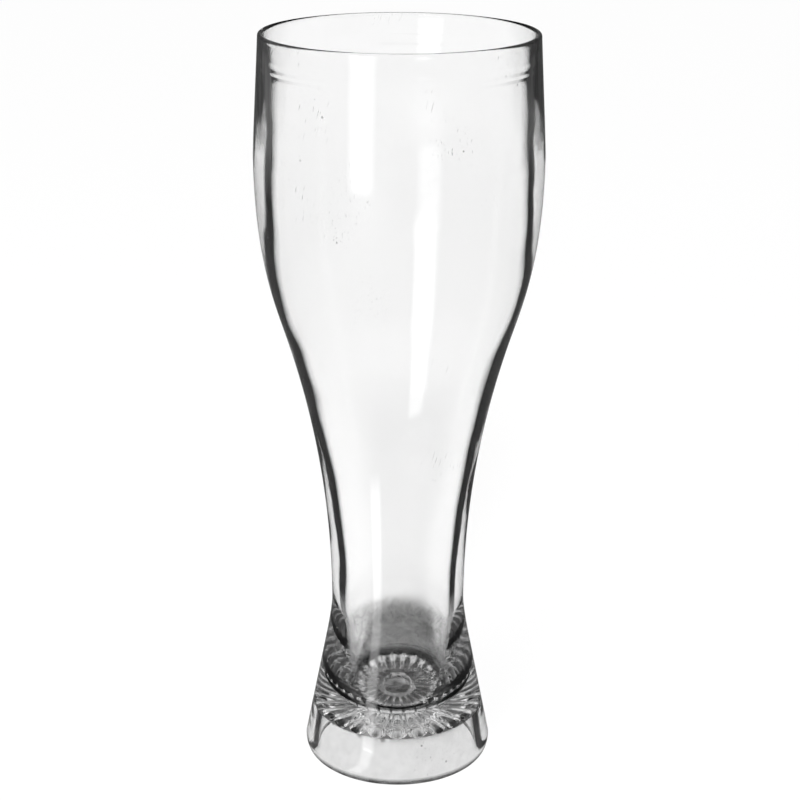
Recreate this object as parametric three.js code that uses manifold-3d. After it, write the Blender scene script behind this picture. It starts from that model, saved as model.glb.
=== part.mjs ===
// Tall footed beer glass in clear plastic: a vessel bonded into a hollow flared foot.
// Millimetres, +Z up, the table at z = 0 and the glass on the Z axis.
import * as THREE from 'three';
import { mergeVertices } from 'three/addons/utils/BufferGeometryUtils.js';
import Module from 'manifold-3d';

const wasm = await Module();
wasm.setup();

// Heights, stacked from the table upwards
const FOOT_HEIGHT = 19.5; // table to the seam between foot and vessel
const CONE_RISE = 18.5; // seam to the top of the straight flare
const WAIST_RISE = 15.7; // top of the flare to the waist
const FLANK_RISE = 87; // waist to the steepest part of the flank
const BULGE_RISE = 57.5; // flank to the widest part
const RIM_RISE = 36.8; // widest part to the rim

// Outside radii
const FOOT_RADIUS = 30.2;
const CONE_TOP_RADIUS = 23.5;
const WAIST_RADIUS = 21.25;
const FLANK_RADIUS = 34.2;
const BULGE_RADIUS = 43.75;
const RIM_RADIUS = 41.75;

// Lean of the flank, in mm outwards per mm upwards
const FLANK_LEAN = 0.31;

// Walls
const LIP_WALL = 1.6;
const BULGE_WALL = 5.4; // thick here, because the inside has no undercut
const FLANK_WALL = 2.5;
const WAIST_WALL = 4.2;
const FLOOR_WALL = 1.2; // from the hub up to the lowest ring of the cavity
const FOOT_WALL = 3.6; // at the table

// Joint: the vessel's spigot in the foot's socket
const SHOULDER_WIDTH = 2.9; // ledge of the vessel that sits over the foot's top edge
const SPIGOT_LENGTH = 5; // seam down to the crests of the flutes
const BOND_GAP = 0.3; // room for the clear cement

// Fluted sunburst under the vessel
const FLUTE_COUNT = 24;
const FLUTE_HEIGHT = 2; // crest to root at the spigot
const ROOT_COVER = 0.25; // how far the flutes sink into the root cone
const HUB_RADIUS = 6;
const HUB_RISE = 2; // crests at the spigot up to the hub
const DIMPLE_RADIUS = 4.5;
const DIMPLE_DEPTH = 1.4;

// Edges
const FOOT_EDGE_HEIGHT = 4; // rounded outer edge at the table
const FOOT_EDGE_WIDTH = 1.9;
const FOOT_INNER_ROUND = 0.6;

// Bottom of the cavity: a full bowl with a low dome in the middle of it
const BOWL_FULLNESS = 7; // 2 is an ellipse, more is squarer
const DOME_RADIUS = 15;
const DOME_HEIGHT = 5.5;

// Facets
const TURN_STEPS = 72;
const CURVE_STEPS = 5;
const BOWL_STEPS = 8;
const DOME_STEPS = 5;
const FLUTE_SIDES = 16;

// Stations that both pieces share
const coneTop = FOOT_HEIGHT + CONE_RISE;
const waistHeight = coneTop + WAIST_RISE;
const flankHeight = waistHeight + FLANK_RISE;
const bulgeHeight = flankHeight + BULGE_RISE;
const rimHeight = bulgeHeight + RIM_RISE;
const coneSlope = (FOOT_RADIUS - CONE_TOP_RADIUS) / (coneTop - FOOT_EDGE_HEIGHT);
const coneRadius = (z) => CONE_TOP_RADIUS + coneSlope * (coneTop - z);
const spigotRadius = coneRadius(FOOT_HEIGHT) - SHOULDER_WIDTH;
const crestHeight = FOOT_HEIGHT - SPIGOT_LENGTH;
const hubHeight = crestHeight + HUB_RISE;
const bowlRadius = WAIST_RADIUS - WAIST_WALL;

// Crest and root lines of the flutes all start from one point on the axis
const crestSlope = (crestHeight - hubHeight) / (spigotRadius - HUB_RADIUS);
const fluteApex = crestHeight - crestSlope * spigotRadius;
const rootSlope = crestSlope + FLUTE_HEIGHT / spigotRadius;
const rootHeight = (r) => fluteApex + rootSlope * r - ROOT_COVER;

// Adds a smooth curve from a station to the next: each end has a lean and a reach
function sweepTo(path, r0, z0, lean0, reach0, r1, z1, lean1, reach1) {
  const way = Math.sign(z1 - z0);
  const a = reach0 * way;
  const b = reach1 * way;
  path.bezierCurveTo(r0 + lean0 * a, z0 + a, r1 - lean1 * b, z1 - b, r1, z1);
}

// Turns an outline of radius and height into a solid around the Z axis
function revolve(points) {
  const geometry = new THREE.LatheGeometry(points, TURN_STEPS);
  return geometry.rotateX(Math.PI / 2);
}

// Joins the seam and the axis of a geometry and hands it to the boolean library
function solid(geometry) {
  const bare = geometry.clone();
  bare.deleteAttribute('normal');
  bare.deleteAttribute('uv');
  const merged = mergeVertices(bare, 1e-4);
  const corners = merged.index.array;
  const triangles = [];
  for (let i = 0; i < corners.length; i += 3) {
    const [a, b, c] = corners.slice(i, i + 3);
    if (a !== b && b !== c && c !== a) triangles.push(a, b, c);
  }
  const mesh = new wasm.Mesh({
    numProp: 3,
    vertProperties: new Float32Array(merged.attributes.position.array),
    triVerts: new Uint32Array(triangles),
  });
  return new wasm.Manifold(mesh);
}

function toGeometry(body) {
  const mesh = body.getMesh();
  const geometry = new THREE.BufferGeometry();
  geometry.setAttribute('position', new THREE.BufferAttribute(mesh.vertProperties, 3));
  geometry.setIndex(new THREE.BufferAttribute(mesh.triVerts, 1));
  geometry.computeVertexNormals();
  return geometry;
}

// Outside, from the seam up to the rim, and over the rounded lip
function drawOutside(path) {
  const lipRound = LIP_WALL / 2;
  const topHeight = rimHeight - lipRound;
  const taper = (RIM_RADIUS - BULGE_RADIUS) / RIM_RISE;
  path.lineTo(coneRadius(FOOT_HEIGHT), FOOT_HEIGHT);
  path.lineTo(CONE_TOP_RADIUS, coneTop);
  sweepTo(path, CONE_TOP_RADIUS, coneTop, -coneSlope, WAIST_RISE * 0.5,
    WAIST_RADIUS, waistHeight, 0, WAIST_RISE * 0.19);
  sweepTo(path, WAIST_RADIUS, waistHeight, 0, FLANK_RISE * 0.3,
    FLANK_RADIUS, flankHeight, FLANK_LEAN, FLANK_RISE * 0.36);
  sweepTo(path, FLANK_RADIUS, flankHeight, FLANK_LEAN, BULGE_RISE * 0.21,
    BULGE_RADIUS, bulgeHeight, 0, BULGE_RISE * 0.55);
  sweepTo(path, BULGE_RADIUS, bulgeHeight, 0, RIM_RISE * 0.1,
    RIM_RADIUS, topHeight, taper, RIM_RISE * 0.4);
  path.absarc(RIM_RADIUS - lipRound, topHeight, lipRound, 0, Math.PI, false);
}

// Height of the bottom of the cavity at a radius
function bowlHeight(r) {
  const depth = waistHeight - (hubHeight + FLOOR_WALL);
  const fullness = (1 - (r / bowlRadius) ** BOWL_FULLNESS) ** (1 / BOWL_FULLNESS);
  const swell = Math.cos((Math.PI / 2) * Math.min(r / DOME_RADIUS, 1)) ** 2;
  return waistHeight - depth * fullness + DOME_HEIGHT * swell;
}

// Cavity, from the lip down: a drafted wall that follows the outside, then the bowl and its dome
function drawCavity(path) {
  const lip = RIM_RADIUS - LIP_WALL;
  const lipHeight = rimHeight - LIP_WALL / 2;
  const bulge = BULGE_RADIUS - BULGE_WALL;
  const flank = FLANK_RADIUS - FLANK_WALL;
  const draft = (lip - bulge) / RIM_RISE;
  sweepTo(path, lip, lipHeight, draft, RIM_RISE * 0.25, bulge, bulgeHeight, 0, RIM_RISE * 0.6);
  sweepTo(path, bulge, bulgeHeight, 0, BULGE_RISE * 0.66,
    flank, flankHeight, FLANK_LEAN, BULGE_RISE * 0.24);
  sweepTo(path, flank, flankHeight, FLANK_LEAN, FLANK_RISE * 0.36,
    bowlRadius, waistHeight, 0, FLANK_RISE * 0.32);
  let r = bowlRadius;
  for (let i = 1; i < BOWL_STEPS; i += 1) {
    r = bowlRadius * Math.cos((Math.PI / 2) * (i / BOWL_STEPS)) ** (2 / BOWL_FULLNESS);
    path.lineTo(r, bowlHeight(r));
  }
  for (let i = DOME_STEPS - 1; i >= 0; i -= 1) {
    path.lineTo((r * i) / DOME_STEPS, bowlHeight((r * i) / DOME_STEPS));
  }
}

// One flute: an elliptical cone from the axis outwards, its crest on the crest line
function flute(index) {
  const rootAngle = Math.atan(rootSlope);
  const crestAngle = Math.atan(crestSlope);
  const reach = (spigotRadius * 1.2) / Math.cos(rootAngle);
  const halfWidth = reach * Math.cos(rootAngle) * Math.tan(Math.PI / FLUTE_COUNT);
  const halfHeight = reach * Math.tan(rootAngle - crestAngle);
  const cone = new THREE.ConeGeometry(1, 1, FLUTE_SIDES);
  cone.translate(0, -0.5, 0);
  cone.rotateZ(Math.PI / 2);
  cone.scale(reach, halfWidth, halfHeight);
  cone.rotateY(-rootAngle);
  cone.translate(0, 0, fluteApex);
  cone.rotateZ((2 * Math.PI * index) / FLUTE_COUNT - Math.PI / 2);
  return solid(cone);
}

// Space that the flutes may fill: inside the spigot
function fluteEnvelope() {
  const outline = new THREE.Path();
  outline.moveTo(0, crestHeight - FLUTE_HEIGHT);
  outline.lineTo(spigotRadius, crestHeight - FLUTE_HEIGHT);
  outline.lineTo(spigotRadius, FOOT_HEIGHT);
  outline.lineTo(0, FOOT_HEIGHT);
  return solid(revolve(outline.getPoints()));
}

function dimple() {
  const ball = new THREE.SphereGeometry(1, TURN_STEPS / 2, 12);
  ball.rotateX(Math.PI / 2);
  ball.scale(DIMPLE_RADIUS, DIMPLE_RADIUS, DIMPLE_DEPTH);
  ball.translate(0, 0, hubHeight);
  return solid(ball);
}

function makeVessel() {
  const outline = new THREE.Path();
  outline.moveTo(0, hubHeight);
  outline.lineTo(HUB_RADIUS, hubHeight);
  outline.lineTo(HUB_RADIUS, rootHeight(HUB_RADIUS));
  outline.lineTo(spigotRadius, rootHeight(spigotRadius));
  outline.lineTo(spigotRadius, FOOT_HEIGHT);
  drawOutside(outline);
  drawCavity(outline);
  const root = solid(revolve(outline.getPoints(CURVE_STEPS)));
  const flutes = Array.from({ length: FLUTE_COUNT }, (_, index) => flute(index));
  const sunburst = wasm.Manifold.union(flutes).intersect(fluteEnvelope());
  return toGeometry(root.add(sunburst).subtract(dimple()));
}

// Foot: a hollow flared ring with a rounded edge at the table and a socket at the top
function makeFoot() {
  const topHeight = FOOT_HEIGHT - BOND_GAP;
  const socketRadius = spigotRadius + BOND_GAP;
  const innerRadius = FOOT_RADIUS - FOOT_WALL;
  const innerLean = (innerRadius - socketRadius) / crestHeight;
  const roundTop = innerRadius - innerLean * FOOT_INNER_ROUND;
  const outline = new THREE.Path();
  outline.moveTo(socketRadius, topHeight);
  outline.lineTo(socketRadius, crestHeight);
  outline.lineTo(roundTop, FOOT_INNER_ROUND);
  outline.quadraticCurveTo(innerRadius, 0, innerRadius + FOOT_INNER_ROUND, 0);
  outline.lineTo(FOOT_RADIUS - FOOT_EDGE_WIDTH, 0);
  outline.absellipse(FOOT_RADIUS - FOOT_EDGE_WIDTH, FOOT_EDGE_HEIGHT,
    FOOT_EDGE_WIDTH, FOOT_EDGE_HEIGHT, -Math.PI / 2, 0, false);
  outline.lineTo(coneRadius(topHeight), topHeight);
  outline.lineTo(socketRadius, topHeight);
  return toGeometry(solid(revolve(outline.getPoints(CURVE_STEPS))));
}

// Clear, colourless plastic: every piece has a material of its own
function clearPlastic() {
  return new THREE.MeshStandardMaterial({
    color: 0xe8ebec,
    roughness: 0.08,
    metalness: 0,
    transparent: true,
    opacity: 0.35,
  });
}

function addPiece(group, name, geometry) {
  const mesh = new THREE.Mesh(geometry, clearPlastic());
  mesh.name = name;
  group.add(mesh);
}

const glass = new THREE.Group();
addPiece(glass, 'vessel', makeVessel());
addPiece(glass, 'foot', makeFoot());

export default glass;
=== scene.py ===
# %% [markdown]
# # A tall beer glass in clear plastic
# The real object is two clear mouldings: a vessel that holds the beer, with a sunburst of flutes
# moulded under its bottom, and a hollow flared foot ring that it is bonded into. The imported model
# gives the exact places of both. It is faceted, and clear plastic shows every facet, so this
# lesson turns both pieces again with smooth walls and gives them a finish that bends light.

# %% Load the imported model
import math

import bpy
from mathutils import Matrix, Vector


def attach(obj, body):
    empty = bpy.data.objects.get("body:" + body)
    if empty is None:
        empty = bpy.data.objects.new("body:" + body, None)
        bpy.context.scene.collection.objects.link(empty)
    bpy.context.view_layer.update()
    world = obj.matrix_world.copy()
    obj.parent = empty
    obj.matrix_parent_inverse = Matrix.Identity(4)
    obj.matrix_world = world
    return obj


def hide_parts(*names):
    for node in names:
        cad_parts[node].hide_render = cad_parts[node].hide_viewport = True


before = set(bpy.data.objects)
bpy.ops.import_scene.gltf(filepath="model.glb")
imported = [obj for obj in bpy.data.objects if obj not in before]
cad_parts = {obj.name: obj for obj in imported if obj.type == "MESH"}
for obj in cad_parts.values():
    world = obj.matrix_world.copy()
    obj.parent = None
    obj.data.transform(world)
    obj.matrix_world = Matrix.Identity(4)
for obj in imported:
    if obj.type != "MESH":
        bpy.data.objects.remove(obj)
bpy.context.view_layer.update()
scene = bpy.context.scene
MM = 0.001

# %% [markdown]
# ## The camera
# The photograph looks down on the glass from the front. The ellipses of the rim and of the foot
# fix how far down: the camera stands about 56 cm in front and 32 cm up. A hand-held camera is
# never quite level, so the picture leans by a fifth of a degree.

# %% Camera
CAMERA_PLACE = Vector((0.0005, -0.5591, 0.3175))
CAMERA_DOWN = math.radians(19.41)
CAMERA_LEAN = math.radians(0.21)
PHOTO_FOCUS = 1892.8  # focal length in pixels of a picture 800 wide
PHOTO_WIDTH = 800

lens = bpy.data.cameras.new("photo_camera")
lens.sensor_width = 36
lens.lens = lens.sensor_width * PHOTO_FOCUS / PHOTO_WIDTH
camera = bpy.data.objects.new("photo_camera", lens)
scene.collection.objects.link(camera)
tilt = Matrix.Rotation(math.pi / 2 - CAMERA_DOWN, 4, "X")
lean = Matrix.Rotation(CAMERA_LEAN, 4, "Z")
camera.matrix_world = Matrix.Translation(CAMERA_PLACE) @ tilt @ lean
scene.camera = camera
print("Lens in mm:", round(lens.lens, 2))

# %% [markdown]
# ## A small helper for node trees
# Nodes are easier to read as sums than as boxes. `Wire` wraps one socket of a tree: arithmetic on
# it adds Math nodes, and its method `add` makes any other node, settings first, then sockets.

# %% Node helper
class Wire:
    def __init__(self, tree, socket=None):
        self.tree = tree
        self.socket = socket

    def add(self, kind, settings=None, inputs=None, out=0):
        node = self.tree.nodes.new(kind)
        for name, value in (settings or {}).items():
            if name == "stops":
                self.set_stops(node.color_ramp, value)
            else:
                setattr(node, name, value)
        for key, value in (inputs or {}).items():
            if isinstance(value, Wire):
                self.tree.links.new(value.socket, node.inputs[key])
            else:
                node.inputs[key].default_value = value
        return Wire(self.tree, node.outputs[out]) if len(node.outputs) else node

    def set_stops(self, ramp, stops):
        while len(ramp.elements) < len(stops):
            ramp.elements.new(0.5)
        for element, (place, grey) in zip(ramp.elements, stops):
            element.position = place
            element.color = (grey, grey, grey, 1)

    def other(self, name):
        return Wire(self.tree, self.socket.node.outputs[name])

    def math(self, operation, first, second=0.0):
        return self.add("ShaderNodeMath", {"operation": operation}, {0: first, 1: second})

    def __add__(self, other):
        return self.math("ADD", self, other)

    def __sub__(self, other):
        return self.math("SUBTRACT", self, other)

    def __mul__(self, other):
        return self.math("MULTIPLY", self, other)

    def __truediv__(self, other):
        return self.math("DIVIDE", self, other)

    def __mod__(self, other):
        return self.math("MODULO", self, other)

    def __rsub__(self, other):
        return self.math("SUBTRACT", other, self)

    __radd__ = __add__
    __rmul__ = __mul__


print("Sums that a wire can do: + - * / %")

# %% [markdown]
# ## Outlines
# Both mouldings are round, so each is one outline of radius and height that turns about the Z
# axis. The heights and radii below are the same as in the CAD model. A smooth curve joins the
# stations: at each end it has a lean, in mm outwards per mm upwards, and a reach, the distance
# over which it keeps that lean. The outlines could be drawn by hand as curves, but numbers keep
# them equal to the model.

# %% Sizes in mm
FOOT_HEIGHT = 19.5
CONE_TOP = 38.0
WAIST_HEIGHT = 53.7
FLANK_HEIGHT = 140.7
BULGE_HEIGHT = 198.2
RIM_HEIGHT = 235.0
FOOT_RADIUS = 30.2
CONE_TOP_RADIUS = 23.5
WAIST_RADIUS = 21.25
FLANK_RADIUS = 34.2
BULGE_RADIUS = 43.75
RIM_RADIUS = 41.75
FLANK_LEAN = 0.31
LIP_WALL = 1.6
BULGE_WALL = 5.4
FLANK_WALL = 2.5
WAIST_WALL = 4.2
FLOOR_WALL = 1.2
FOOT_WALL = 3.6
SHOULDER_WIDTH = 2.9
SPIGOT_LENGTH = 5.0
FLUTE_COUNT = 24
FLUTE_HEIGHT = 2.0
HUB_RADIUS = 6.0
HUB_RISE = 2.0
DIMPLE_RADIUS = 4.5
DIMPLE_DEPTH = 1.4
FOOT_EDGE_HEIGHT = 4.0
FOOT_EDGE_WIDTH = 1.9
FOOT_INNER_ROUND = 0.6
BOWL_FULLNESS = 7.0
DOME_RADIUS = 15.0
DOME_HEIGHT = 5.5

CONE_SLOPE = (FOOT_RADIUS - CONE_TOP_RADIUS) / (CONE_TOP - FOOT_EDGE_HEIGHT)
CREST_HEIGHT = FOOT_HEIGHT - SPIGOT_LENGTH
HUB_HEIGHT = CREST_HEIGHT + HUB_RISE


def cone_radius(height):
    return CONE_TOP_RADIUS + CONE_SLOPE * (CONE_TOP - height)


SPIGOT_RADIUS = cone_radius(FOOT_HEIGHT) - SHOULDER_WIDTH
print("Spigot radius in mm:", round(SPIGOT_RADIUS, 2))


# %% Curve helpers
def blend(start, end, steps):
    shares = [i / steps for i in range(1, steps + 1)]
    return [tuple(a + (b - a) * share for a, b in zip(start, end)) for share in shares]


def sweep(start, end, steps):
    (r0, z0, lean0, reach0), (r1, z1, lean1, reach1) = start, end
    way = math.copysign(1, z1 - z0)
    pull0 = (r0 + lean0 * reach0 * way, z0 + reach0 * way)
    pull1 = (r1 - lean1 * reach1 * way, z1 - reach1 * way)
    points = []
    for i in range(1, steps + 1):
        t = i / steps
        weights = ((1 - t) ** 3, 3 * t * (1 - t) ** 2, 3 * t * t * (1 - t), t**3)
        corners = ((r0, z0), pull0, pull1, (r1, z1))
        points.append(tuple(sum(w * c[k] for w, c in zip(weights, corners)) for k in (0, 1)))
    return points


def arc(centre, width, height, start, end, steps):
    turn = [start + (end - start) * i / steps for i in range(1, steps + 1)]
    return [(centre[0] + width * math.cos(a), centre[1] + height * math.sin(a)) for a in turn]


quarter = arc((0, 0), 1, 1, 0, math.pi / 2, 3)
print("A quarter circle in 3 points:", [(round(r, 2), round(z, 2)) for r, z in quarter])

# %% [markdown]
# The underside of the vessel starts at the axis with a dimple in a flat, raised hub. From the hub
# the flutes run outwards and a little down to the spigot, the short step that sits in the foot.
# The outside then goes up the straight flare, round the narrow waist, up the flank and over the
# widest part to the rounded lip. A tiny step at each end of the joint keeps the bonded faces
# apart from the faces that show. The runs stay separate lists of points, so that each can carry
# its own mark.

# %% Outline of the vessel's outside
SEAM_STEP = 0.03


def underside():
    dimple = arc((0, HUB_HEIGHT), DIMPLE_RADIUS, DIMPLE_DEPTH, math.pi / 2, 0, 12)
    hub = [(HUB_RADIUS, HUB_HEIGHT)]
    last = (SPIGOT_RADIUS - SEAM_STEP, CREST_HEIGHT)
    flutes = hub + blend(hub[0], last, 14)
    return [(0, HUB_HEIGHT + DIMPLE_DEPTH)] + dimple + hub, flutes


def outside():
    lip = LIP_WALL / 2
    top = RIM_HEIGHT - lip
    taper = (RIM_RADIUS - BULGE_RADIUS) / (RIM_HEIGHT - BULGE_HEIGHT)
    cone = (CONE_TOP_RADIUS, CONE_TOP, -CONE_SLOPE)
    waist = (WAIST_RADIUS, WAIST_HEIGHT, 0)
    flank = (FLANK_RADIUS, FLANK_HEIGHT, FLANK_LEAN)
    bulge = (BULGE_RADIUS, BULGE_HEIGHT, 0)
    shoulder = (cone_radius(FOOT_HEIGHT), FOOT_HEIGHT)
    points = [(cone_radius(FOOT_HEIGHT + SEAM_STEP), FOOT_HEIGHT + SEAM_STEP)]
    points += blend(shoulder, cone[:2], 8)
    # each end is a station and its reach
    points += sweep((*cone, 7.85), (*waist, 3.0), 10)
    points += sweep((*waist, 26.1), (*flank, 31.3), 26)
    points += sweep((*flank, 12.1), (*bulge, 31.6), 20)
    points += sweep((*bulge, 3.7), (RIM_RADIUS, top, taper, 14.7), 10)
    return points + arc((RIM_RADIUS - lip, top), lip, lip, 0, math.pi, 10)


print("Points on the vessel's outside:", len(outside()))

# %% [markdown]
# The cavity follows the outside, but a moulding has to slide off its core, so the inside never
# gets wider below the mouth. That leaves the wall thick at the widest part. Two shallow rings run
# round the inside a finger's width under the rim, as on the photographed glass. The bottom is a
# full bowl with a low dome in its middle. The dome works as a lens: through it the flutes look
# like a flower. The lowest bend of the bowl is kept as a run of its own, because the finish
# paints shade on it. The cavity could be a copy of the outside moved inwards, but that would trap
# the core.

# %% Outline of the cavity
RING_HEIGHTS = (227.1, 224.9)
RING_DEPTH = 0.025
RING_SPREAD = 0.8
SIDE_STEPS = 24
FLOOR_STEPS = 30
CORNER_INNER = 15.0
CORNER_TOP = 23.0


def ring_swell(height):
    steps = [(height - ring) / RING_SPREAD for ring in RING_HEIGHTS]
    return sum(RING_DEPTH * math.exp(-(step**2)) for step in steps)


def bowl_height(radius):
    depth = WAIST_HEIGHT - (HUB_HEIGHT + FLOOR_WALL)
    share = radius / (WAIST_RADIUS - WAIST_WALL)
    fullness = (1 - share**BOWL_FULLNESS) ** (1 / BOWL_FULLNESS)
    swell = math.cos(math.pi / 2 * min(radius / DOME_RADIUS, 1)) ** 2
    return WAIST_HEIGHT - depth * fullness + DOME_HEIGHT * swell


def cavity_wall():
    lip_radius = RIM_RADIUS - LIP_WALL
    lip_height = RIM_HEIGHT - LIP_WALL / 2
    bulge = (BULGE_RADIUS - BULGE_WALL, BULGE_HEIGHT, 0)
    flank = (FLANK_RADIUS - FLANK_WALL, FLANK_HEIGHT, FLANK_LEAN)
    waist = (WAIST_RADIUS - WAIST_WALL, WAIST_HEIGHT, 0)
    draft = (lip_radius - bulge[0]) / (RIM_HEIGHT - BULGE_HEIGHT)
    wall = sweep((lip_radius, lip_height, draft, 9.2), (*bulge, 22.1), 48)
    wall = [(radius + ring_swell(height), height) for radius, height in wall]
    wall += sweep((*bulge, 38.0), (*flank, 13.8), 22)
    return wall + sweep((*flank, 31.3), (*waist, 27.8), 26)


def cavity_bottom():
    bowl = WAIST_RADIUS - WAIST_WALL
    corner = 0.5 ** (1 / BOWL_FULLNESS)  # share of the bowl where side and floor meet
    drops = [corner * i / SIDE_STEPS for i in range(1, SIDE_STEPS + 1)]
    radii = [bowl * (1 - drop**BOWL_FULLNESS) ** (1 / BOWL_FULLNESS) for drop in drops]
    radii += [bowl * corner * (1 - i / FLOOR_STEPS) for i in range(1, FLOOR_STEPS + 1)]
    bottom = [(radius, bowl_height(radius)) for radius in radii]
    is_corner = [CORNER_INNER < radius and height < CORNER_TOP for radius, height in bottom]
    first = is_corner.index(True)
    last = first + sum(is_corner)
    return bottom[:first], bottom[first:last], bottom[last:]


lowest = min(height for part in cavity_bottom() for radius, height in part)
print("Lowest point of the cavity in mm:", round(lowest, 2))

# %% [markdown]
# The foot is a ring: a socket at the top, a flared wall, and a rounded outer edge at the table.
# Clear cement fills the joint of a bonded glass, so here the foot reaches almost to the vessel.
# Only a hair's breadth is left between the two meshes. The foot could be part of the vessel's
# outline, but it is a moulding of its own.

# %% Outline of the foot
CEMENT_LINE = 0.02


def foot_ring():
    top = FOOT_HEIGHT - CEMENT_LINE
    socket = SPIGOT_RADIUS + CEMENT_LINE
    inner = FOOT_RADIUS - FOOT_WALL
    edge = (FOOT_RADIUS - FOOT_EDGE_WIDTH, FOOT_EDGE_HEIGHT)
    joint = [(cone_radius(top), top), (socket, top), (socket, CREST_HEIGHT)]
    inside = [(socket, CREST_HEIGHT - SEAM_STEP)]
    inside += blend(inside[0], (inner, FOOT_INNER_ROUND), 8)
    corner = (inner + FOOT_INNER_ROUND, FOOT_INNER_ROUND)
    skirt = arc(corner, FOOT_INNER_ROUND, FOOT_INNER_ROUND, math.pi, 1.5 * math.pi, 5)
    skirt += [(edge[0], 0)]
    skirt += arc(edge, FOOT_EDGE_WIDTH, FOOT_EDGE_HEIGHT, -math.pi / 2, 0, 10)
    low = top - SEAM_STEP
    skirt += blend(skirt[-1], (cone_radius(low), low), 8)
    return joint, inside, skirt + [joint[0]]


print("Points on the foot's outline:", sum(len(part) for part in foot_ring()))

# %% [markdown]
# ## Turning the outlines with Geometry Nodes
# The flutes repeat, so the tree makes one slice of the glass, as wide as one flute, and sets it
# round the axis once for each flute. In a slice, every column of a grid takes the outline's
# points and turns them by an angle. Where the outline carries the `flute` attribute, the column
# also rises towards the slice's two edges along a quarter ellipse: that makes a round rib with a
# sharp groove at each side. The attributes `cavity`, `corner` and `bond` go along to the mesh, so
# that the finish can tell the faces apart. A Screw modifier could turn the outlines too, but it
# couldn't raise the flutes.

# %% One slice of the glass
KEPT_MARKS = ("cavity", "corner", "bond")


def named(wire, name):
    return wire.add("GeometryNodeInputNamedAttribute", None, {"Name": name})


def one_slice(given):
    outline, slices, columns = (given.other(name) for name in ("Outline", "Slices", "Columns"))
    size = {"Geometry": outline}
    count = given.add("GeometryNodeAttributeDomainSize", None, size, "Point Count")
    sheet = {"Vertices X": columns + 1, "Vertices Y": count}
    grid = given.add("GeometryNodeMeshGrid", None, sheet, "Mesh")
    index = given.add("GeometryNodeInputIndex")
    row = index % count
    column = given.math("FLOOR", (index + 0.5) / count)

    def from_outline(kind, value):
        inputs = {"Geometry": outline, "Value": value, "Index": row}
        return given.add("GeometryNodeSampleIndex", {"data_type": kind}, inputs)

    place = from_outline("FLOAT_VECTOR", given.add("GeometryNodeInputPosition"))
    radius = given.add("ShaderNodeSeparateXYZ", None, {0: place}, "X")
    swing = (column / columns * 2 - 1) * (math.pi / 2)
    angle = given.math("SINE", swing) * math.pi / slices - math.pi / 2
    rise = from_outline("FLOAT", named(given, "flute")) * (1 - given.math("COSINE", swing))
    point = {
        "X": radius * given.math("COSINE", angle),
        "Y": radius * given.math("SINE", angle),
        "Z": radius.other("Z") + rise,
    }
    moved = {"Geometry": grid, "Position": given.add("ShaderNodeCombineXYZ", None, point)}
    slice_mesh = given.add("GeometryNodeSetPosition", None, moved)
    for label in KEPT_MARKS:
        value = from_outline("FLOAT", named(given, label))
        kept = {"Geometry": slice_mesh, "Name": label, "Value": value}
        slice_mesh = given.add("GeometryNodeStoreNamedAttribute", {"data_type": "FLOAT"}, kept)
    return slice_mesh


print("Width of a slice in degrees:", 360 / FLUTE_COUNT)

# %% [markdown]
# The slices are instances on a row of points, one for each flute, and each is turned a step
# further. Made real and merged at their edges, they close to a ring.

# %% All slices round the axis
MERGE_REACH = 1e-6


def ring_of_slices(given, slice_mesh):
    slices = given.other("Slices")
    stops = given.add("GeometryNodePoints", None, {"Count": slices})
    index = given.add("GeometryNodeInputIndex")
    turn = given.add("ShaderNodeCombineXYZ", None, {"Z": index * (2 * math.pi) / slices})
    ring = {"Points": stops, "Instance": slice_mesh, "Rotation": turn}
    ring = given.add("GeometryNodeInstanceOnPoints", None, ring)
    whole = given.add("GeometryNodeRealizeInstances", None, {"Geometry": ring})
    merge = {"Geometry": whole, "Distance": MERGE_REACH}
    return given.add("GeometryNodeMergeByDistance", None, merge)


print("Edges merge within mm:", MERGE_REACH / MM)

# %% [markdown]
# A gentle noise then moves the wall of the cavity in and out, because thick plastic sinks as it
# cools. Walls are shaded smooth, and only edges that bend sharply, such as the grooves between
# the flutes, stay crisp. Set Material ends the tree, so that the mesh carries the finish.

# %% Sunk walls, crisp edges and the finish
LUMP_DETAIL = 1.0
LUMP_ROUGHNESS = 0.4


def finished(given, whole):
    lumps = {"Scale": given.other("Sink scale"), "Detail": LUMP_DETAIL}
    lumps["Roughness"] = LUMP_ROUGHNESS
    lumps = given.add("ShaderNodeTexNoise", {"noise_dimensions": "3D"}, lumps)
    depth = (lumps - 0.5) * given.other("Sink") * named(given, "cavity")
    sink = {0: given.add("GeometryNodeInputNormal"), "Scale": depth}
    sink = given.add("ShaderNodeVectorMath", {"operation": "SCALE"}, sink)
    whole = given.add("GeometryNodeSetPosition", None, {"Geometry": whole, "Offset": sink})
    bend = {0: given.add("GeometryNodeInputMeshEdgeAngle"), 1: given.other("Crisp angle")}
    crisp = given.add("FunctionNodeCompare", None, bend)
    whole = given.add("GeometryNodeSetShadeSmooth", None, {"Geometry": whole})
    edges = {"Geometry": whole, "Selection": crisp, "Shade Smooth": False}
    whole = given.add("GeometryNodeSetShadeSmooth", {"domain": "EDGE"}, edges)
    finish = {"Geometry": whole, "Material": given.other("Finish")}
    return given.add("GeometryNodeSetMaterial", None, finish)


print("Detail of the sunk walls:", LUMP_DETAIL)

# %% [markdown]
# The three steps become one tree. Its inputs are the outline, the sizes and the finish, so the
# same tree turns the vessel and the foot.

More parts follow.
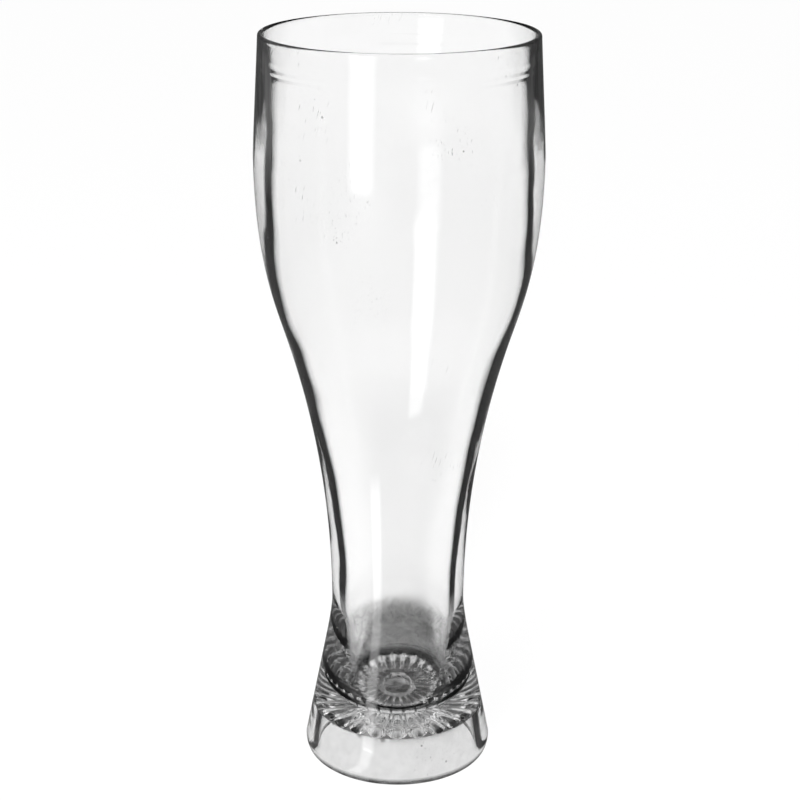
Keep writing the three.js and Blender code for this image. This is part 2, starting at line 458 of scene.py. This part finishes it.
# %% The whole tree
def turning_tree():
    tree = bpy.data.node_groups.new("turned_moulding", "GeometryNodeTree")
    face = tree.interface
    face.new_socket("Outline", in_out="INPUT", socket_type="NodeSocketGeometry")
    for name in ("Slices", "Columns"):
        face.new_socket(name, in_out="INPUT", socket_type="NodeSocketInt")
    for name in ("Sink", "Sink scale", "Crisp angle"):
        face.new_socket(name, in_out="INPUT", socket_type="NodeSocketFloat")
    face.new_socket("Finish", in_out="INPUT", socket_type="NodeSocketMaterial")
    face.new_socket("Moulding", in_out="OUTPUT", socket_type="NodeSocketGeometry")
    given = Wire(tree).add("NodeGroupInput")
    whole = finished(given, ring_of_slices(given, one_slice(given)))
    given.add("NodeGroupOutput", None, {"Moulding": whole})
    return tree


TURNING = turning_tree()
print("Nodes in the turning tree:", len(TURNING.nodes))

# %% [markdown]
# An outline goes into the tree as a mesh of points and edges. It comes in runs, each with a kind,
# and the kinds become the attributes that the tree reads.

# %% Outline as a mesh
def outline_mesh(name, runs):
    mesh = bpy.data.meshes.new(name)
    outline = [point for kind, points in runs for point in points]
    kinds = [kind for kind, points in runs for point in points]
    corners = [(radius * MM, 0, height * MM) for radius, height in outline]
    mesh.from_pydata(corners, [(i, i + 1) for i in range(len(corners) - 1)], [])
    rise = [FLUTE_HEIGHT * MM * radius / SPIGOT_RADIUS for radius, height in outline]
    shares = {
        "flute": [r if kind in ("flute", "spigot") else 0.0 for r, kind in zip(rise, kinds)],
        "cavity": [float(kind in ("cavity", "corner")) for kind in kinds],
        "corner": [float(kind == "corner") for kind in kinds],
        "bond": [float(kind in ("spigot", "bond")) for kind in kinds],
    }
    for label, values in shares.items():
        mesh.attributes.new(label, "FLOAT", "POINT").data.foreach_set("value", values)
    print(name, "points:", len(corners))
    return mesh


# %% [markdown]
# One function turns one piece. It sets the tree's inputs by identifier, makes the result a plain
# mesh and removes the modifier, so that the mesh holds what is seen.

# %% Turn one piece
def turned(name, runs, sizes):
    piece = bpy.data.objects.new(name, outline_mesh(name + "_outline", runs))
    scene.collection.objects.link(piece)
    turning = piece.modifiers.new("turning", "NODES")
    turning.node_group = TURNING
    for item in TURNING.interface.items_tree:
        if item.name in sizes:
            turning[item.identifier] = sizes[item.name]
    evaluated = piece.evaluated_get(bpy.context.evaluated_depsgraph_get())
    done = bpy.data.meshes.new_from_object(evaluated)
    piece.modifiers.clear()
    piece.data = done
    done.materials.clear()
    done.materials.append(sizes["Finish"])
    done.calc_loop_triangles()
    print(name, "triangles:", len(done.loop_triangles))
    return piece


# %% [markdown]
# ## The finish: clear plastic
# Clear plastic has almost no colour of its own. What the eye sees is light that its walls bend,
# the reflections of bright things, and dark lines where the light is turned back inside a wall.
# The next cells make these one by one, and the last one puts them together: the dark lines are
# a painted reflection, and the grey of the base is painted shade. Most of them are laid out by
# height, which runs from 0 at the table to 1 at the rim, so a ramp says where each begins and ends.

# %% Helpers for the finish
PLASTIC_IOR = 1.5


def bare_tree(owner):
    owner.use_nodes = True
    owner.node_tree.nodes.clear()
    return Wire(owner.node_tree)


def ramp(stops, value):
    return value.add("ShaderNodeValToRGB", {"stops": stops}, {0: value})


def noise(place, scale, detail, distortion=0.0):
    inputs = {"Vector": place, "Scale": scale, "Detail": detail, "Distortion": distortion}
    return place.add("ShaderNodeTexNoise", None, inputs)


def marked(wire, name):
    return wire.add("ShaderNodeAttribute", {"attribute_name": name}, None, "Fac")


def mixed(share, first, second):
    return share.add("ShaderNodeMixShader", None, {0: share, 1: first, 2: second})


print("Bending of light in the plastic:", PLASTIC_IOR)

# %% [markdown]
# ### Painted dark lines
# Seen from outside, the wall of the cavity turns light back wherever it is seen past the critical
# angle. There it mirrors the dark part of a room. A dark room could be built, but it would also
# show in the clear middle of the glass, so a nearly black surface is mixed in at these places
# alone: a painted reflection of that dark. Fresnel finds where light is turned back. Layer Weight
# then tells the inner edge of the wall, where the line is dark, from the outer strip, where it is
# pale. Near the rim the wall is thin and the strip stays grey, along the stem the line is wider,
# and beside the base it fades. The lowest bend of the cavity and the edge that touches the table
# are painted dark too, as painted shade.

# %% Painted dark lines
MIRROR_STOPS = ((0.0, 0.0), (0.2, 0.0), (0.8, 0.9), (1.0, 0.98))
EDGE_STOPS = ((0.0, 1.0), (0.288, 1.0), (0.3, 0.1), (0.4, 0.1), (0.5, 1.0))
BASE_LINE_STOPS = ((0.0, 1.0), (0.07, 1.0), (0.08, 0.0), (0.1, 0.4), (0.2, 0.5), (0.25, 1.0))
RIM_LINE_STOPS = ((0.975, 1.0), (0.985, 0.4))
LINE_STOPS = BASE_LINE_STOPS + RIM_LINE_STOPS
THIN_STOPS = ((0.0, 0.0), (0.85, 0.0), (0.875, 1.0), (1.0, 1.0))
THIN_REACH = -0.008
THIN_SHADE = 0.5
STEM_STOPS = ((0.0, 0.0), (0.2, 0.0), (0.25, 1.0), (0.5, 1.0), (0.62, 0.0))
STEM_REACH = 0.014
EDGE_WAVES = 0.03
# painted shade on the lowest bend of the cavity, marked as corner
CORNER_PAINTED_SHADE = 0.8
# painted shade: the edge of the foot that touches the table is drawn dark
PAINTED_CONTACT_SHADE_STOPS = ((0.0, 0.95), (0.0038, 0.95), (0.0055, 0.0))


# painted reflection and painted shade: the share of near black mixed into the plastic
def painted_dark_lines(height, waves):
    mirror = ramp(MIRROR_STOPS, height.add("ShaderNodeFresnel", None, {"IOR": PLASTIC_IOR}))
    facing = height.add("ShaderNodeLayerWeight", None, {"Blend": 0.5}, "Facing")
    thin = ramp(THIN_STOPS, height)
    stem = ramp(STEM_STOPS, height)
    shifted = facing - thin * THIN_REACH - stem * STEM_REACH + (waves - 0.5) * EDGE_WAVES
    near_edge = height.math("MAXIMUM", ramp(EDGE_STOPS, shifted), thin * THIN_SHADE)
    lines = mirror * near_edge * marked(height, "cavity") * ramp(LINE_STOPS, height)
    # painted shade in the corner of the bowl
    corner = marked(height, "corner") * CORNER_PAINTED_SHADE
    return lines + corner + ramp(PAINTED_CONTACT_SHADE_STOPS, height)


print("Facing up to which a line is dark:", EDGE_STOPS[1][0])

# %% [markdown]
# The painted dark itself isn't even: near the rim and in the skirt it is drawn out in soft
# upright streaks, from black to grey. A noise that is stretched along the height gives them.

# %% Streaky painted dark
STREAK_STOPS = ((0.0, 0.15), (0.4, 0.15), (0.62, 1.0), (1.0, 1.0))
BAND_STOPS = ((0.0, 0.7), (0.07, 0.5), (0.09, 0.0), (0.8, 0.0), (0.88, 1.0), (1.0, 1.0))
STREAK_STRETCH = (1, 1, 0.04)
STREAK_SCALE = 300.0
# greys of the painted reflection in the dark lines
DARK_GREY = (0.01, 0.01, 0.01, 1)
SOFT_GREY = (0.16, 0.16, 0.16, 1)


def streaky_painted_dark(place, height):
    tall = place.add("ShaderNodeMapping", None, {"Vector": place, "Scale": STREAK_STRETCH})
    streaks = ramp(STREAK_STOPS, noise(tall, STREAK_SCALE, detail=2.0))
    dark = place.add("ShaderNodeBsdfDiffuse", None, {"Color": DARK_GREY})
    soft = place.add("ShaderNodeBsdfDiffuse", None, {"Color": SOFT_GREY})
    return mixed(ramp(BAND_STOPS, height) * streaks, dark, soft)


print("Greys of the dark lines:", DARK_GREY[0], SOFT_GREY[0])

# %% [markdown]
# ### Painted shade on the base
# The thick base is darkened with painted shade, which joins the shadow that it throws. Absorption
# in the volume would render slowly and would grey the whole stem, so the base colour falls from
# nearly white to grey between the bottom of the cavity and the waist, with a cloudy mottle.

# %% Painted shade on the base
TONE_STOPS = ((0.0, 0.25), (0.09, 0.25), (0.11, 1.0), (0.175, 1.0), (0.19, 0.0))
TONE_WAVES = 0.03
CLEAR_TONE = 0.97
BASE_SHADE_TONE = 0.42
MOTTLE_STOPS = ((0.0, 0.5), (0.4, 0.5), (0.6, 1.0), (1.0, 1.0))
MOTTLE_SCALE = 190.0
MOTTLE_SWIRL = 1.2


def base_painted_shade(place, height, waves):
    shade_share = ramp(TONE_STOPS, height + (waves - 0.5) * TONE_WAVES)
    mottle = ramp(MOTTLE_STOPS, noise(place, MOTTLE_SCALE, detail=3.0, distortion=MOTTLE_SWIRL))
    return CLEAR_TONE - shade_share * mottle * (CLEAR_TONE - BASE_SHADE_TONE)


print("Tone of clear plastic and of the base:", CLEAR_TONE, BASE_SHADE_TONE)

# %% [markdown]
# ### Wear
# A used plastic glass has fine scratches and specks. They lie in a few patches: some anywhere, by
# a slow noise, and three on the front. A noise that is stretched along a leaning line makes the
# scratches, and the middles of Voronoi cells make the specks. They could be painted on an image,
# but noise needs no image and fits every side.

# %% Scratches and specks
HAIR_STOPS = ((0.0, 0.0), (0.72, 0.0), (0.75, 1.0), (1.0, 1.0))
HAIR_LEAN = (0.1, 0.26, 0)
HAIR_STRETCH = (1, 1, 16.0)
HAIR_SCALE = 2600.0
HAIR_SHADE = 0.35
HAIR_WEAR = 0.5
PATCH_STOPS = ((0.0, 0.0), (0.6, 0.0), (0.66, 1.0), (1.0, 1.0))
PATCH_SCALE = 24.0
WEAR_SPOTS = ((-0.03, -0.031, 0.192), (0.027, -0.034, 0.196), (0.013, -0.021, 0.108))
WEAR_STOPS = ((0.0, 1.0), (0.5, 1.0), (1.0, 0.0))
WEAR_REACH = 0.01
GRIT_STOPS = ((0.0, 1.0), (0.03, 1.0), (0.05, 0.0), (1.0, 0.0))
GRIT_SCALE = 110.0
SPECK_SHADE = 0.6
WEAR_ROUGHNESS = 0.12


def wear_patches(place):
    patch = ramp(PATCH_STOPS, noise(place, PATCH_SCALE, detail=1.0))
    for spot in WEAR_SPOTS:
        ends = {0: place, 1: spot}
        away = place.add("ShaderNodeVectorMath", {"operation": "DISTANCE"}, ends, "Value")
        patch = place.math("MAXIMUM", patch, ramp(WEAR_STOPS, away / WEAR_REACH))
    return patch


def wear_marks(place, patch):
    along = {"Vector": place, "Rotation": HAIR_LEAN, "Scale": HAIR_STRETCH}
    along = place.add("ShaderNodeMapping", {"vector_type": "TEXTURE"}, along)
    hair = ramp(HAIR_STOPS, noise(along, HAIR_SCALE, detail=1.0)) * patch
    cells = place.add("ShaderNodeTexVoronoi", None, {"Vector": place, "Scale": GRIT_SCALE})
    return hair, ramp(GRIT_STOPS, cells)


print("Worn spots on the front:", len(WEAR_SPOTS))

# %% [markdown]
# ### Ripples
# The bowl of the cavity is rippled where the thick plastic sank, and the two rings under the rim
# catch the light more than their shallow shape alone would. A Bump node adds both, together with
# the wear and a faint unevenness all over. All of it could be modelled, but ripples this fine
# would need a far denser mesh.

# %% Ripples and rings
RIPPLE_STOPS = ((0.0, 0.0), (0.1, 0.0), (0.12, 1.0), (0.14, 1.0), (0.17, 0.3), (0.22, 0.0))
RIPPLE_STRETCH = (1, 1, 2.5)
RIPPLE_SCALE = 220.0
RIPPLE_SHARE = 3.0
RING_STOPS = ((0.9528, 0.0), (0.957, 1.0), (0.9617, 0.0), (0.9664, 1.0), (0.9706, 0.0))
RING_SHARE = 2.0
WEAR_SHARE = 0.3
WAVE_SHARE = 0.2
DENT_DEPTH = 0.00003


def dented(place, height, waves, wear):
    wide = place.add("ShaderNodeMapping", None, {"Vector": place, "Scale": RIPPLE_STRETCH})
    ripples = noise(wide, RIPPLE_SCALE, detail=2.0) * ramp(RIPPLE_STOPS, height) * RIPPLE_SHARE
    rings = ramp(RING_STOPS, height) * RING_SHARE
    relief = wear * WEAR_SHARE + waves * WAVE_SHARE + (ripples + rings) * marked(place, "cavity")
    dent = {"Strength": 1.0, "Distance": DENT_DEPTH, "Height": relief}
    return place.add("ShaderNodeBump", None, dent)


print("Height of the ripples in mm:", round(DENT_DEPTH * RIPPLE_SHARE / MM, 2))

# %% [markdown]
# ### Putting the finish together
# A Principled shader with full transmission bends the light. The painted dark of the lines and
# streaks is mixed into it, with the wear. Faces inside the joint are filled with clear cement,
# which bends light just as the plastic does, so they let it straight through and no seam shows.
# Rays on their way to a lamp pass too, so that the glass throws the pale shadow of a clear thing,
# but the thick base holds most of them back.

# %% Clear plastic
WAVE_SCALE = 90.0
THICK_STOPS = ((0.0, 0.0), (0.08, 0.0), (0.09, 1.0), (0.2, 1.0), (0.215, 0.0))
THICK_SHADE = 0.9
PASSING_TONE = (0.95, 0.95, 0.95, 1)
CEMENT_TONE = (1, 1, 1, 1)


def clear_plastic():
    material = bpy.data.materials.new("polished_clear_plastic")
    place = bare_tree(material).add("ShaderNodeTexCoord", None, None, "Object")
    height = place.add("ShaderNodeSeparateXYZ", None, {0: place}, "Z") / (RIM_HEIGHT * MM)
    waves = noise(place, WAVE_SCALE, detail=3.0)
    patch = wear_patches(place)
    hair, grit = wear_marks(place, patch)
    wear = hair * HAIR_WEAR + grit
    plastic = {
        "Base Color": base_painted_shade(place, height, waves),
        "Roughness": wear * WEAR_ROUGHNESS,
        "IOR": PLASTIC_IOR,
        "Transmission Weight": 1.0,
        "Normal": dented(place, height, waves, wear),
    }
    plastic = place.add("ShaderNodeBsdfPrincipled", None, plastic)
    # painted reflection and painted shade, together with the real scratches and specks
    painted_shade_and_wear = painted_dark_lines(height, waves) + hair * HAIR_SHADE + grit * patch * SPECK_SHADE
    wall = mixed(painted_shade_and_wear, plastic, streaky_painted_dark(place, height))
    cement = place.add("ShaderNodeBsdfTransparent", None, {"Color": CEMENT_TONE})
    wall = mixed(marked(place, "bond"), wall, cement)
    passing = place.add("ShaderNodeBsdfTransparent", None, {"Color": PASSING_TONE})
    lamp_ray = place.add("ShaderNodeLightPath", None, None, "Is Shadow Ray")
    wall = mixed(lamp_ray * (1 - ramp(THICK_STOPS, height) * THICK_SHADE), wall, passing)
    place.add("ShaderNodeOutputMaterial", None, {"Surface": wall})
    return material


CLEAR_PLASTIC = clear_plastic()
print("Nodes in the finish:", len(CLEAR_PLASTIC.node_tree.nodes))

# %% [markdown]
# ## The two pieces
# Both outlines now go through the tree with the finish. Each piece rides on the glass's one body
# and stands in for the CAD node of the same moulding.

# %% Make the vessel and the foot
hub_part, flute_part = underside()
side_part, corner_part, floor_part = cavity_bottom()
shoulder = [(SPIGOT_RADIUS, FOOT_HEIGHT), (cone_radius(FOOT_HEIGHT), FOOT_HEIGHT)]
vessel_runs = [
    ("hub", hub_part),
    ("flute", flute_part),
    ("spigot", [(SPIGOT_RADIUS, CREST_HEIGHT)]),
    ("bond", shoulder),
    ("outside", outside()),
    ("cavity", cavity_wall() + side_part),
    ("corner", corner_part),
    ("cavity", floor_part),
]
joint_part, inside_part, skirt_part = foot_ring()
foot_runs = [("bond", joint_part), ("cavity", inside_part), ("outside", skirt_part)]
sizes = {
    "Slices": FLUTE_COUNT,
    "Columns": 12,
    "Sink": 0.5 * MM,
    "Sink scale": 45.0,
    "Crisp angle": math.radians(28),
    "Finish": CLEAR_PLASTIC,
}
vessel = turned("clear_vessel", vessel_runs, sizes)
foot = turned("clear_foot", foot_runs, sizes)

for piece, node in ((vessel, "vessel"), (foot, "foot")):
    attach(piece, "root")
    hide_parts(node)

# %% [markdown]
# ## Studio
# The glass stands on white paper in a white room. The paper is a plain pale sheet that keeps the
# glass's shadow. Where the camera looks straight at it, most of it is plain white, and a little
# of that also shows through the glass. Where it is only mirrored in the plastic it is nearly
# black, like the unlit part of a studio: otherwise the mirrored white would wash out the clear
# walls. A curved backdrop could stand behind the glass instead, but white meets white here, so a
# flat sheet is enough.

# %% Floor
FLOOR_REACH = 4.0
PAPER = (0.9, 0.9, 0.9, 1)
UNLIT = (0.02, 0.02, 0.02, 1)
WHITE = (1, 1, 1, 1)
SEEN_GLOW = 0.75  # share of the paper that is plain white where the camera sees it
THROUGH_GLOW = 0.05  # the same where it is seen through the glass
MIRRORED_DARK = 0.9  # share of it that is dark where it is seen as a reflection


def flat_sheet(name, corners):
    mesh = bpy.data.meshes.new(name)
    mesh.from_pydata([(x, y, 0) for x, y in corners], [], [(0, 1, 2, 3)])
    sheet = bpy.data.objects.new(name, mesh)
    scene.collection.objects.link(sheet)
    return sheet


def white_paper():
    material = bpy.data.materials.new("white_paper")
    ray = bare_tree(material).add("ShaderNodeLightPath", None, None, "Is Camera Ray")
    paper = ray.add("ShaderNodeBsdfDiffuse", None, {"Color": PAPER})
    unlit = ray.add("ShaderNodeBsdfDiffuse", None, {"Color": UNLIT})
    glow = ray.add("ShaderNodeEmission", None, {"Color": WHITE, "Strength": 1.0})
    through = ray.other("Is Transmission Ray")
    paper = mixed(ray.other("Is Glossy Ray") * (1 - through) * MIRRORED_DARK, paper, unlit)
    paper = mixed(ray * SEEN_GLOW + through * THROUGH_GLOW, paper, glow)
    ray.add("ShaderNodeOutputMaterial", None, {"Surface": paper})
    return material


floor = flat_sheet(
    "paper_floor",
    [(x * FLOOR_REACH, y * FLOOR_REACH) for x, y in ((-1, -1), (1, -1), (1, 1), (-1, 1))],
)
floor.data.materials.append(white_paper())
print("Floor in m:", round(2 * FLOOR_REACH, 1))

# %% [markdown]
# The world is the rest of the room. It is white to the camera, and also to light that comes
# through the glass from the sides, but it darkens towards the ceiling. It gives less to matt
# surfaces and little to mirrored ones.

# %% World
ROOM_STOPS = ((0.0, 1.0), (0.35, 1.0), (0.55, 0.1), (1.0, 0.1))
DIFFUSE_CUT = 0.6
MIRROR_CUT = 0.9

world = bpy.data.worlds.new("studio")
scene.world = world
direction = bare_tree(world).add("ShaderNodeTexCoord", None, None, "Generated")
room = ramp(ROOM_STOPS, direction.add("ShaderNodeSeparateXYZ", None, {0: direction}, "Z"))
ray = direction.add("ShaderNodeLightPath", None, None, "Is Camera Ray")
mirrored = ray.other("Is Glossy Ray") * (1 - ray.other("Is Transmission Ray"))
lit = room * (1 - ray.other("Is Diffuse Ray") * DIFFUSE_CUT - mirrored * MIRROR_CUT)
# inputs 6 and 7 and output 2 of a Mix node are its colours
colour = ray.add("ShaderNodeMix", {"data_type": "RGBA"}, {0: ray, 6: lit, 7: WHITE}, 2)
sky = ray.add("ShaderNodeBackground", None, {"Color": colour, "Strength": 1.0})
ray.add("ShaderNodeOutputWorld", None, {"Surface": sky})
print("Nodes in the world:", len(world.node_tree.nodes))

# %% [markdown]
# ### Lamps
# Three lamps give a soft, plain level: a strip at the left, a box above, and a key light from the
# front. The key throws the shadow of the thick base on to the paper behind it, and that shadow is
# what darkens the lower stem when it is seen through the glass. Strip and key don't show in the
# plastic: the cards of the next cell give its reflections. An even sky could light the glass
# alone, but then the base would throw no shadow.

# %% Lamps
def softbox(name, place, aim, width, height, glow):
    lamp = bpy.data.lights.new(name, "AREA")
    lamp.shape = "RECTANGLE"
    lamp.size = width
    lamp.size_y = height
    lamp.energy = glow * math.pi * width * height
    box = bpy.data.objects.new(name, lamp)
    scene.collection.objects.link(box)
    box.location = place
    box.rotation_euler = (Vector(aim) - Vector(place)).to_track_quat("-Z", "Y").to_euler()
    return box


def key_sun(name, turn, height, spread, level):
    lamp = bpy.data.lights.new(name, "SUN")
    lamp.angle = spread
    lamp.energy = level * math.pi / math.sin(height)
    sun = bpy.data.objects.new(name, lamp)
    scene.collection.objects.link(sun)
    sun.rotation_euler = (math.pi / 2 - height, 0, turn)
    return sun


LEFT_FRONT = (-0.42, -0.79, 0.52)
OVERHEAD = (0.1, 0.1, 1.3)
KEY_TURN = math.radians(-2)
KEY_HEIGHT = math.radians(35)
KEY_SPREAD = math.radians(6)

strip = softbox("strip_left", LEFT_FRONT, (0, 0, 0.3), width=0.35, height=1.0, glow=5.0)
top_box = softbox("top_box", OVERHEAD, (0, 0, 0), width=0.8, height=0.8, glow=0.4)
key = key_sun("front_key", KEY_TURN, KEY_HEIGHT, KEY_SPREAD, level=0.9)
for lamp in (strip, key):
    lamp.visible_glossy = lamp.visible_transmission = False
print("Lamps:", [lamp.name for lamp in (strip, top_box, key)])

# %% [markdown]
# ### Cards for the bright streaks
# The bright upright streaks on the glass are a window in front and to the left. A card stands in
# for it: a sheet that glows, with soft edges, and shows only as a reflection, so it lights
# nothing. The front wall mirrors one card. The back wall is seen through the front one, so its
# streak needs cards that show only through the plastic. A short card near the table and one lying
# on it put the streak on the stem and the skirt. Lamps that show in the plastic could do this
# too, but they would light the paper as well.

# %% One card
SOFT_STOPS = ((0.0, 1.0), (0.5, 1.0), (1.0, 0.0))
END_STOPS = ((0.0, 1.0), (0.8, 1.0), (1.0, 0.0))


def card_glow(name, near, far, length, glow):
    material = bpy.data.materials.new(name)
    spot = bare_tree(material).add("ShaderNodeTexCoord", None, None, "Object")
    side = spot.add("ShaderNodeSeparateXYZ", None, {0: spot}, "X")
    reach = side.other("Y")
    half = reach * ((far - near) / (2 * length)) + (near + far) / 4
    fade = ramp(SOFT_STOPS, spot.math("ABSOLUTE", side) / half)
    fade = fade * ramp(END_STOPS, spot.math("ABSOLUTE", reach) / (length / 2))
    light = spot.add("ShaderNodeEmission", None, {"Color": fade, "Strength": glow})
    clear = spot.add("ShaderNodeBsdfTransparent")
    both = spot.add("ShaderNodeAddShader", None, {0: light, 1: clear})
    spot.add("ShaderNodeOutputMaterial", None, {"Surface": both})
    return material


def mirror_card(name, place, across, along, near, far, length, glow, through=False):
    end = length / 2
    corners = [(-near / 2, -end), (near / 2, -end), (far / 2, end), (-far / 2, end)]
    card = flat_sheet(name, corners)
    turn = Matrix((across, along, across.cross(along))).transposed().to_4x4()
    card.matrix_world = Matrix.Translation(place) @ turn
    card.data.materials.append(card_glow(name, near, far, length, glow))
    card.visible_camera = card.visible_diffuse = card.visible_shadow = False
    card.visible_glossy, card.visible_transmission = not through, through
    print(name, "centre in m:", [round(v, 3) for v in place])


# %% Cards
AIM = math.radians(32)
OUT = Vector((-math.sin(AIM), -math.cos(AIM), 0))
SIDE = Vector((math.cos(AIM), -math.sin(AIM), 0))
UP = Vector((0, 0, 1))
WINDOW = Vector((-0.244, -0.459, 0))

front = {"near": 0.19, "far": 0.24, "length": 0.26, "glow": 3.6}
back_wall = {"near": 0.25, "far": 0.25, "length": 0.19, "glow": 3.6, "through": True}
back_rim = {"near": 0.25, "far": 0.3, "length": 0.4, "glow": 3.2, "through": True}
on_table = {"near": 0.006, "far": 0.028, "length": 0.075, "glow": 4.0}
low = {"near": 0.03, "far": 0.03, "length": 0.05, "glow": 4.0}
mirror_card("window_card", WINDOW + UP * 0.2, SIDE, UP, **front)
mirror_card("back_wall_card", WINDOW + UP * 0.21, SIDE, UP, **back_wall)
mirror_card("back_rim_card", WINDOW + UP * 0.47, SIDE, UP, **back_rim)
mirror_card("table_card", OUT * 0.068 + UP * 0.0005, SIDE, OUT, **on_table)
mirror_card("low_card", OUT * 0.1 + UP * 0.016, SIDE, UP, **low)

# %% [markdown]
# ## Light paths
# Light crosses many walls before it leaves the flutes, so it gets many bounces. Caustics are left
# out, because they would only add noise: the shadow rays above already let light through.

# %% Light paths for clear plastic
BOUNCES = 24
scene.cycles.use_denoising = True
scene.cycles.max_bounces = BOUNCES
scene.cycles.transmission_bounces = BOUNCES
scene.cycles.glossy_bounces = BOUNCES
scene.cycles.transparent_max_bounces = BOUNCES
scene.cycles.caustics_reflective = False
scene.cycles.caustics_refractive = False
scene.view_settings.view_transform = "Standard"
print("Bounces:", BOUNCES)
